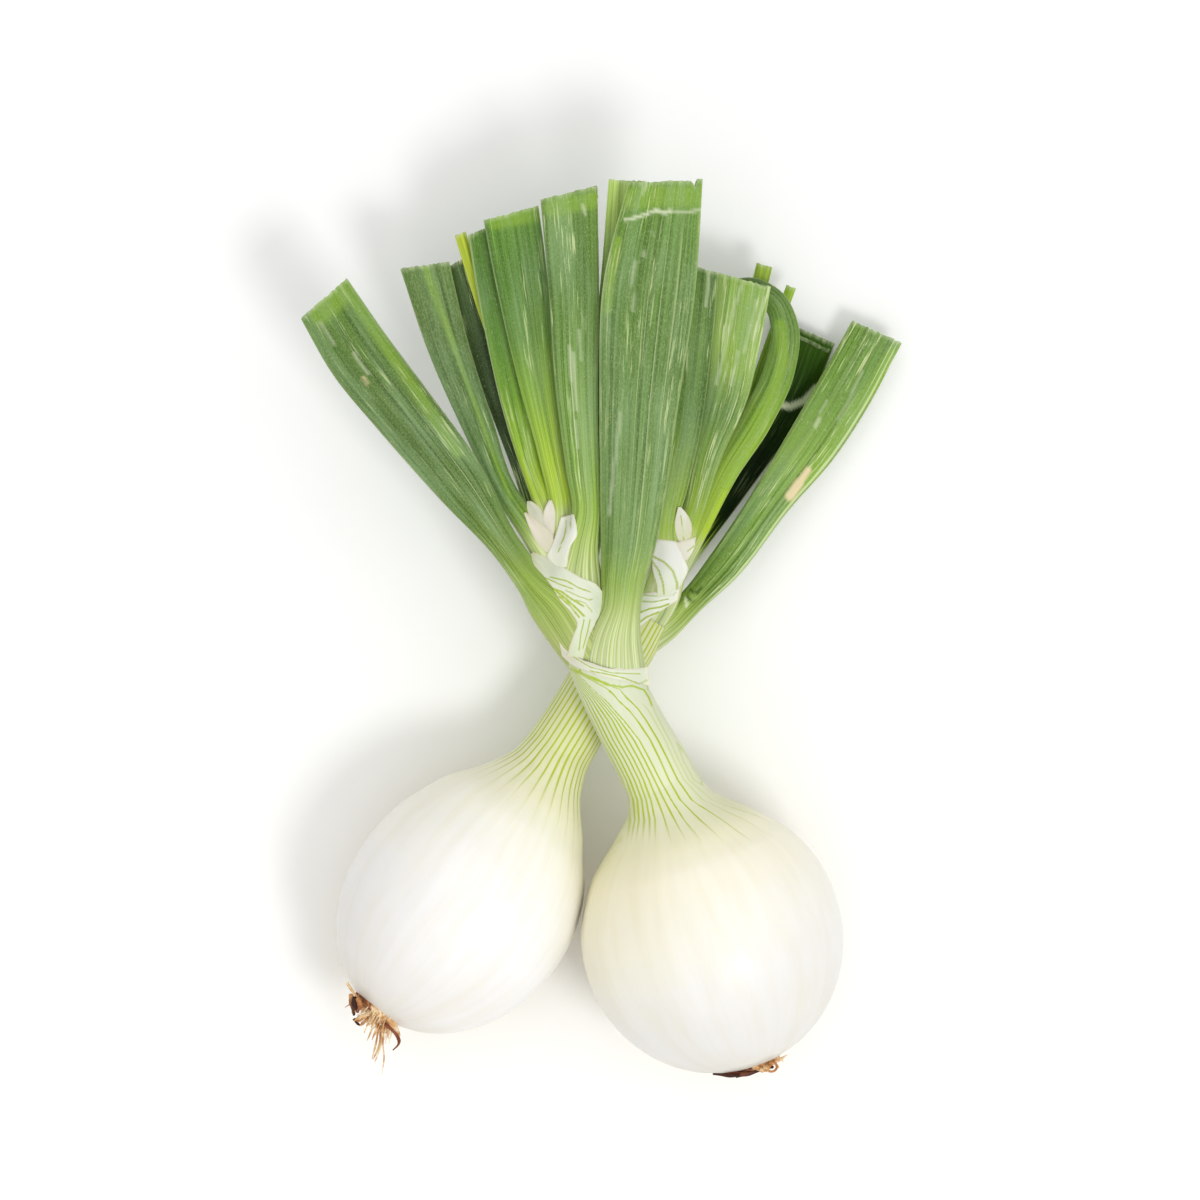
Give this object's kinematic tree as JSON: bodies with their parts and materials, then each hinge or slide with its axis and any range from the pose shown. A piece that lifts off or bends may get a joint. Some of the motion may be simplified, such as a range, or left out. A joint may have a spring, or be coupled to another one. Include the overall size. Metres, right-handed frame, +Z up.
{
  "type": "onion bunch",
  "caption": "Bunch of fresh white bulb onions lying with crossed necks, green leaves trimmed straight, short dry roots.",
  "frame": {"origin": "on the surface that the bunch lies on, under the middle of its box", "axes": "+Y from the root ends towards the cut leaf tips, +Z up from the surface"},
  "size_m": [0.1704, 0.2553, 0.0732],
  "materials": {
    "bulb_skin": "smooth moist white skin, soft gloss",
    "leaf": "green, fine ribs, waxy bloom, satin",
    "dry_root": "dry fibrous, matt"
  },
  "bodies": {
    "root": {"front_bulb": "bulb_skin", "back_bulb": "bulb_skin", "front_roots": "dry_root", "back_roots": "dry_root", "front_leaf_1": "leaf", "front_leaf_2": "leaf", "front_leaf_3": "leaf", "front_leaf_4": "leaf", "front_leaf_5": "leaf", "front_leaf_6": "leaf", "front_leaf_7": "leaf", "front_leaf_8": "leaf", "front_leaf_9": "leaf", "back_leaf_1": "leaf", "back_leaf_2": "leaf", "back_leaf_3": "leaf", "back_leaf_4": "leaf", "back_leaf_5": "leaf", "back_leaf_6": "leaf", "back_leaf_7": "leaf"}
  },
  "joints": []
}
